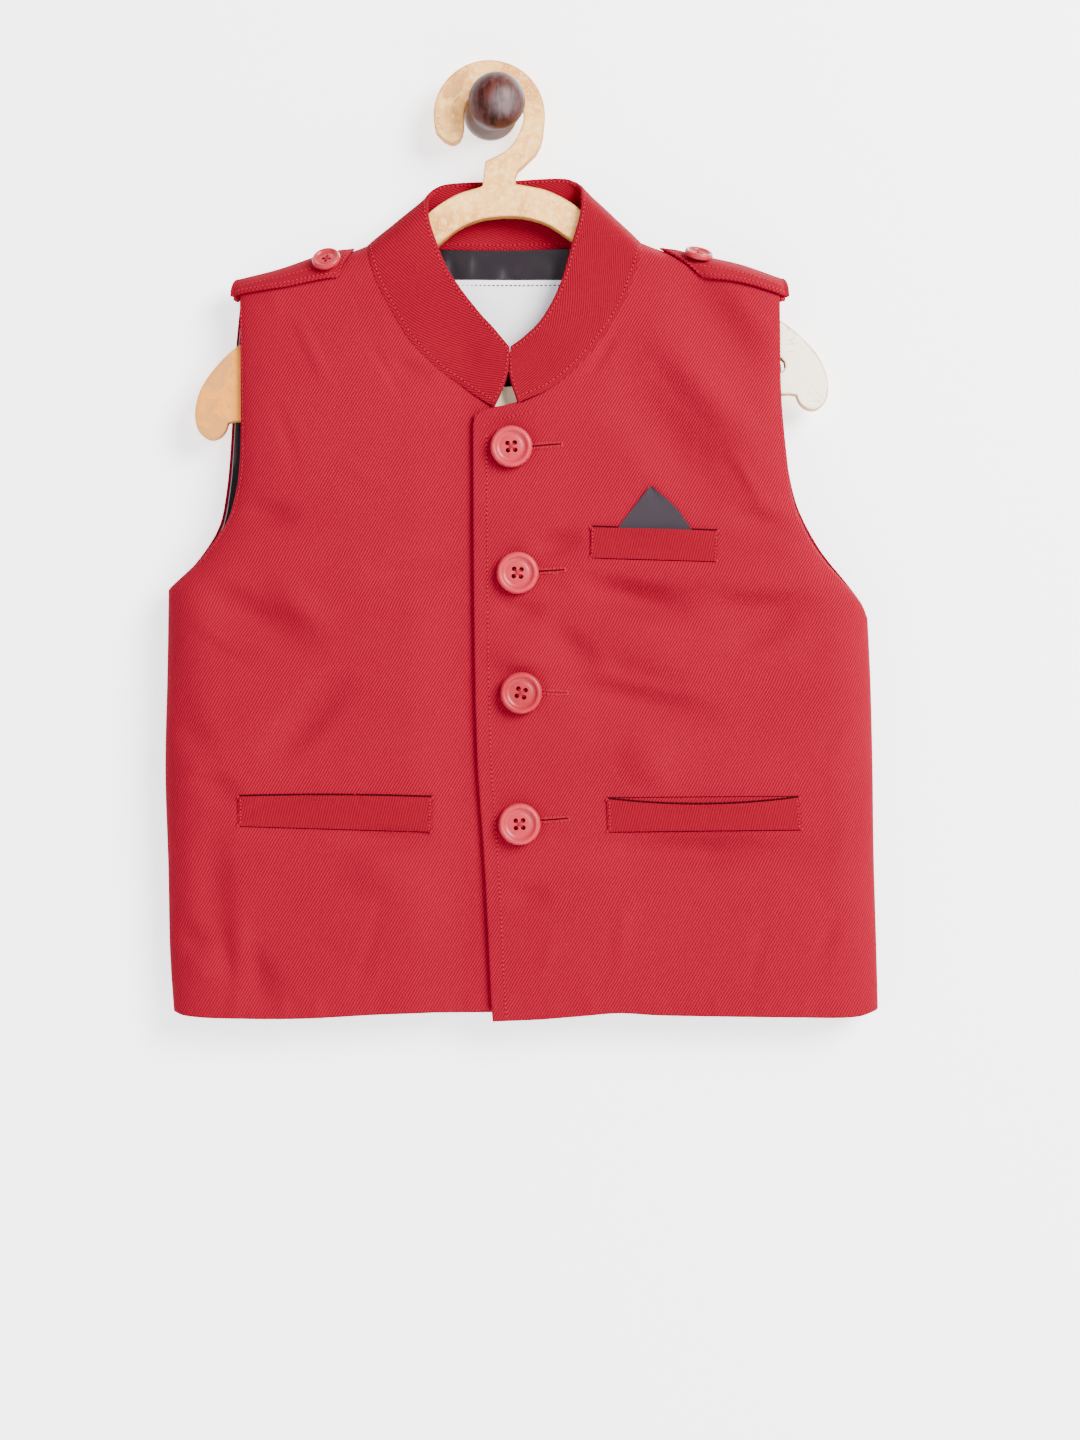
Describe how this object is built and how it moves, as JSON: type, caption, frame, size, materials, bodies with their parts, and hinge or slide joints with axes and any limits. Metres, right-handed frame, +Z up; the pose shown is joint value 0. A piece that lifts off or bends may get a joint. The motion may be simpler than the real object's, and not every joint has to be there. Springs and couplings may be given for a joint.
{
  "type": "nehru jacket on a hanger and wall peg",
  "caption": "Child's sleeveless stand-collar jacket, buttoned at the front, hung on a flat wooden hanger from a ball-ended wall peg.",
  "frame": {"origin": "on the wall plane behind the centre of the peg's ball, where the wall holds the peg", "axes": "+Z up, +Y into the wall, +X towards the wearer's left, so the jacket's front faces -Y"},
  "size_m": [0.3426, 0.0424, 0.4583],
  "materials": {
    "red_twill": "matt cotton twill",
    "black_satin": "satin lining",
    "label_tape": "plain woven tape",
    "square_cloth": "matt",
    "button_red": "glossy",
    "painted_wood": "cream paint, rubbed at the edges",
    "stained_wood": "dark stain, satin"
  },
  "bodies": {
    "root": {"front_right": "red_twill", "front_left": "red_twill", "back": "red_twill", "collar": "red_twill", "welt_chest": "red_twill", "welt_lower_right": "red_twill", "welt_lower_left": "red_twill", "tab_right": "red_twill", "tab_left": "red_twill", "back_lining": "black_satin", "neck_label": "label_tape", "pocket_square": "square_cloth", "button_1": "button_red", "button_2": "button_red", "button_3": "button_red", "button_4": "button_red", "tab_right_button": "button_red", "tab_left_button": "button_red", "hanger": "painted_wood", "wall_peg": "stained_wood"}
  },
  "joints": []
}
